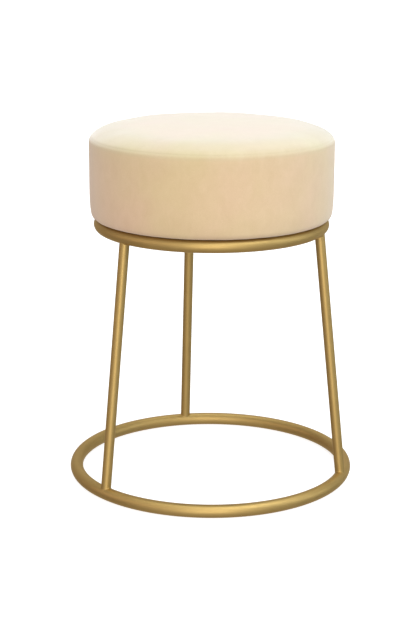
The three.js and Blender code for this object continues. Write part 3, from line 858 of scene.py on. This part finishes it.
pad_profile = [(0, 403.4), (60, 403.4), (120, 403.4), (149.5, 403.4), (151.8, 404.2), (152.4, 406.5)] + [
    (152.4, z) for z in (412, 420, 428, 433)] + [
    (152.1, 436), (151.0, 438.6), (148.5, 441.0), (144.5, 443.2), (138, 446.1), (127, 449.3), (110, 451.4), (80, 453.0), (40, 453.7), (0, 453.8)]
pad = place(foam_piece("top_foam_pad", pad_profile, 21, False), FOAM, "top_foam", slot="foam")
wrap_profile = [(145.4, 340.4), (147.4, 340.6), (149.4, 342.2), (150.7, 345.5), (151.5, 351), (152.1, 358), (152.3, 370), (152.3, 385),
                (152.3, 398), (151.9, 401.6), (150.6, 402.6), (147, 402.8), (145.4, 402.8), (145.4, 385), (145.4, 365), (145.4, 350)]
wrap = place(foam_piece("side_foam_wrap", wrap_profile, 22, True), FOAM, "side_foam", slot="foam")


def dust_cover():
    """Thin black cloth, a little slack in the middle and drawn into small folds at the staples."""
    n = 300
    th = np.arange(n) * TAU / n
    r = np.concatenate([np.linspace(0.5, 96, 30, endpoint=False), np.linspace(96, 133, 34)])
    T, Rr = np.meshgrid(th, r, indexing="ij")
    step = TAU / 15
    d = (T - math.radians(42) + step / 2) % step - step / 2        # angle from the nearest staple
    sag = 1.9 * np.clip(1 - (Rr / 98) ** 2, 0, 1) ** 1.3
    flat = np.stack([Rr * np.cos(T), Rr * np.sin(T), np.zeros_like(T)], -1)
    sag = sag + 0.35 * lumps(8, 16, 45, 130)(flat) * np.clip(1 - (Rr / 104) ** 2, 0, 1)
    edge = np.clip((Rr - 100) / 30, 0, 1)
    fold = 0.22 * edge * np.exp(-(d * Rr / 9) ** 2) * np.cos(d * Rr * 1.05) \
        + 0.16 * edge * waves(9, 14, 18, 60, 0.02, 0.1)(T, Rr)
    lift = 0.25 * np.exp(-((Rr - 131.5) / 3.0) ** 2) * (1 - np.exp(-(d * Rr / 10) ** 2))
    # clear of the velvet's gathers above and of the staples' wire below
    z = 337.40 - sag - fold * 0.9 - lift
    z = np.where(Rr > 100, np.clip(z, 337.2, 337.5), z)
    edge_r = Rr + (Rr > 132.9) * (0.35 * waves(10, 12, 5, 40, 0, 0)(T, 0))
    pts = np.stack([edge_r * np.cos(T), edge_r * np.sin(T), z], -1)
    ob = grid_object("underside_cloth", pts, True, False)
    bm = bmesh.new()
    bm.from_mesh(ob.data)
    bm.verts.ensure_lookup_table()
    bm.faces.new([bm.verts[i * len(r)] for i in range(n)])
    # holes for the bolts
    centres = [Vector((BOLT_AT * math.cos(math.radians(a)) * MM, BOLT_AT * math.sin(math.radians(a)) * MM, 0)) for a in LUGS.values()]
    doomed = [f for f in bm.faces if any((f.calc_center_median().xy - c.xy).length < 4.8 * MM for c in centres)]
    bmesh.ops.delete(bm, geom=doomed, context="FACES")
    bmesh.ops.recalc_face_normals(bm, faces=bm.faces)
    for f in bm.faces:
        f.smooth = True
    bm.to_mesh(ob.data)
    bm.free()
    sol = ob.modifiers.new("cloth_thickness", "SOLIDIFY")
    sol.thickness, sol.offset = 0.3 * MM, 0
    return ob


cloth = place(dust_cover(), NONWOVEN, "dust_cover", slot="nonwoven")


def staple(name, degrees, turn):
    """Flat wire staple with rounded shoulders."""
    half, w, t, zb, zt = 5.5, 1.2, 0.6, 336.4, 345.0
    rad = 0.9
    path = [(-half + t / 2, zt)]
    for i in range(7):
        a = math.pi + (math.pi / 2) * i / 6
        path.append((-half + t / 2 + rad + rad * math.cos(a), zb + t / 2 + rad + rad * math.sin(a)))
    for i in range(7):
        a = 1.5 * math.pi + (math.pi / 2) * i / 6
        path.append((half - t / 2 - rad + rad * math.cos(a), zb + t / 2 + rad + rad * math.sin(a)))
    path.append((half - t / 2, zt))
    path = np.array(path)
    tan = np.gradient(path, axis=0)
    tan /= np.linalg.norm(tan, axis=1)[:, None]
    nor = np.stack([-tan[:, 1], tan[:, 0]], -1)
    cr = 0.14
    sect = [(-w / 2 + cr, -t / 2), (w / 2 - cr, -t / 2), (w / 2, -t / 2 + cr), (w / 2, t / 2 - cr),
            (w / 2 - cr, t / 2), (-w / 2 + cr, t / 2), (-w / 2, t / 2 - cr), (-w / 2, -t / 2 + cr)]
    pts = np.zeros((len(path), len(sect), 3))
    for i in range(len(path)):
        for j, (a, b) in enumerate(sect):
            y, z = path[i] + nor[i] * b
            pts[i, j] = (a, y, z)
    pts = rot_z(pts, turn)
    pts[..., 0] += 126.0
    ob = grid_object(name, rot_z(pts, degrees), False, True)
    bm = bmesh.new()
    bm.from_mesh(ob.data)
    bm.verts.ensure_lookup_table()
    k = len(sect)
    bm.faces.new([bm.verts[j] for j in range(k)])
    bm.faces.new([bm.verts[(len(path) - 1) * k + j] for j in range(k)])
    bmesh.ops.recalc_face_normals(bm, faces=bm.faces)
    bm.to_mesh(ob.data)
    bm.free()
    return ob


rng = np.random.default_rng(17)
for i in range(15):
    place(staple(f"wire_staple_{i + 1:02d}", 42 + 24 * i, float(rng.uniform(-2.5, 2.5))), ZINC, f"staple_{i + 1:02d}", slot="zinc_steel")


# ------------------------------------------------------------ floor and light

def floor():
    me = bpy.data.meshes.new("studio_floor")
    s = 30
    me.from_pydata([(-s, -s, 0), (s, -s, 0), (s, s, 0), (-s, s, 0)], [], [(0, 1, 2, 3)])
    ob = bpy.data.objects.new("studio_floor", me)
    bpy.context.collection.objects.link(ob)
    m, nt, b = new_material("pale_floor")
    n = noise_tex(nt, coords(nt, "Object"), 3, 2, 0.5)
    nt.links.new(ramp(nt, n.outputs["Fac"], [(0.3, (0.45, 0.45, 0.45)), (0.7, (0.47, 0.47, 0.47))]), b.inputs["Base Color"])
    b.inputs["Roughness"].default_value = 0.9
    b.inputs["Specular IOR Level"].default_value = 0.0
    b.inputs["Emission Color"].default_value = (1, 1, 1, 1)
    # a sweep that gets whiter away from the stool, where the lamps reach less
    far = node(nt, "ShaderNodeVectorMath", operation="LENGTH")
    nt.links.new(coords(nt, "Object"), far.inputs[0])
    nt.links.new(map_range(nt, far.outputs["Value"], 0.3, 3.0, 0.80, 1.05), b.inputs["Emission Strength"])
    ob.data.materials.append(m)
    ob.location.z = -0.0002
    return ob


ground = floor()
ground.visible_glossy = False
ground.visible_diffuse = False
ground.visible_shadow = False


def area(name, size, power, loc, target, color=(1, 1, 1), size_y=None):
    d = bpy.data.lights.new(name, "AREA")
    d.shape = "RECTANGLE"
    d.size = size
    d.size_y = size_y or size
    d.energy = power
    d.color = color
    o = bpy.data.objects.new(name, d)
    o.location = loc
    o.rotation_euler = (Vector(target) - Vector(loc)).to_track_quat("-Z", "Y").to_euler()
    bpy.context.collection.objects.link(o)
    o.visible_camera = False
    return o


AZ, EL, DIST = math.radians(-11.864), math.radians(14.979), 2.0629
TARGET = Vector((-0.00142 * math.cos(AZ), -0.00142 * math.sin(AZ), 0.20795))


def around(azimuth, elevation, dist):
    """A point seen from the stool at this angle; azimuth 0 is the camera's side, + to its right."""
    a, e = AZ + math.radians(azimuth), math.radians(elevation)
    return TARGET + dist * Vector((math.sin(a) * math.cos(e), -math.cos(a) * math.cos(e), math.sin(e)))


WARM, COOL = (1.0, 0.83, 0.79), (0.83, 0.925, 1.0)
area("overhead_softbox", 2.6, 43.0, (0.1, -0.1, 2.6), (0, 0, 0.3), (0.956, 1.0, 0.997))
area("high_right_softbox", 1.2, 18.2, around(48, 52, 2.4), (0, 0, 0.3), COOL)
area("front_softbox", 0.8, 12.1, around(0, 0, 2.4), (0, 0, 0.3))
area("front_fill", 0.8, 10.0, around(4, 30, 2.4), (0, 0, 0.3))
area("left_front_fill", 0.8, 2.6, around(-45, 20, 2.4), (0, 0, 0.3), WARM)
area("right_fill", 1.2, 9.8, around(80, 15, 2.4), (0, 0, 0.3), COOL)
area("left_fill", 1.2, 5.2, around(-80, 15, 2.4), (0, 0, 0.3), WARM)

# the studio's walls, ceiling and floor as soft lobes: how much light comes from each side
WALLS = {
    "front": (0.993, 0.993, 0.993), "back": (0.670, 0.636, 0.686), "right": (0.410, 0.455, 0.490),
    "left": (0.292, 0.240, 0.228), "up": (0.668, 0.699, 0.697), "down": (0.578, 0.536, 0.524),
}

world = bpy.data.worlds.new("studio")
scene.world = world
world.use_nodes = True
wn = world.node_tree
wn.nodes.clear()
wout = wn.nodes.new("ShaderNodeOutputWorld")
seen = wn.nodes.new("ShaderNodeBackground")
seen.inputs["Color"].default_value = (1, 1, 1, 1)
seen.inputs["Strength"].default_value = 1.05
lit = wn.nodes.new("ShaderNodeBackground")
wdir = wn.nodes.new("ShaderNodeTexCoord")
wall_gain = {}
total = None
for axis, plus, minus in (((math.sin(AZ), -math.cos(AZ), 0), "front", "back"),
                          ((math.cos(AZ), math.sin(AZ), 0), "right", "left"), ((0, 0, 1), "up", "down")):
    dot = node(wn, "ShaderNodeVectorMath", operation="DOT_PRODUCT")
    dot.inputs[1].default_value = axis
    wn.links.new(wdir.outputs["Generated"], dot.inputs[0])
    for key, op in ((plus, "MAXIMUM"), (minus, "MINIMUM")):
        half = math_node(wn, op, dot.outputs["Value"], 0.0)
        lobe = node(wn, "ShaderNodeVectorMath", operation="SCALE")
        lobe.inputs[0].default_value = WALLS[key]
        wall_gain[key] = lobe.inputs[0]
        wn.links.new(math_node(wn, "MULTIPLY", half, half), lobe.inputs["Scale"])
        if total is None:
            total = lobe.outputs[0]
        else:
            add = node(wn, "ShaderNodeVectorMath", operation="ADD")
            wn.links.new(total, add.inputs[0])
            wn.links.new(lobe.outputs[0], add.inputs[1])
            total = add.outputs[0]
wn.links.new(total, lit.inputs["Color"])
path = wn.nodes.new("ShaderNodeLightPath")
mixw = wn.nodes.new("ShaderNodeMixShader")
wn.links.new(path.outputs["Is Camera Ray"], mixw.inputs[0])
wn.links.new(lit.outputs[0], mixw.inputs[1])
wn.links.new(seen.outputs[0], mixw.inputs[2])
wn.links.new(mixw.outputs[0], wout.inputs["Surface"])

# ------------------------------------------------------------------ camera

cam_data = bpy.data.cameras.new("camera")
cam_data.sensor_width = 36
cam_data.lens = 1600.3 * 36 / 630
cam = bpy.data.objects.new("camera", cam_data)
bpy.context.collection.objects.link(cam)
cam.location = around(0, math.degrees(EL), DIST)
look = (TARGET - cam.location).to_track_quat("-Z", "Y")
cam.rotation_mode = "QUATERNION"
cam.rotation_quaternion = Quaternion((TARGET - cam.location).normalized(), -math.radians(0.246)) @ look
cam_data.clip_start, cam_data.clip_end = 0.05, 100
scene.camera = cam

scene.view_settings.view_transform = "Standard"
scene.view_settings.look = "None"
scene.view_settings.exposure = 0.0
scene.view_settings.gamma = 1.0
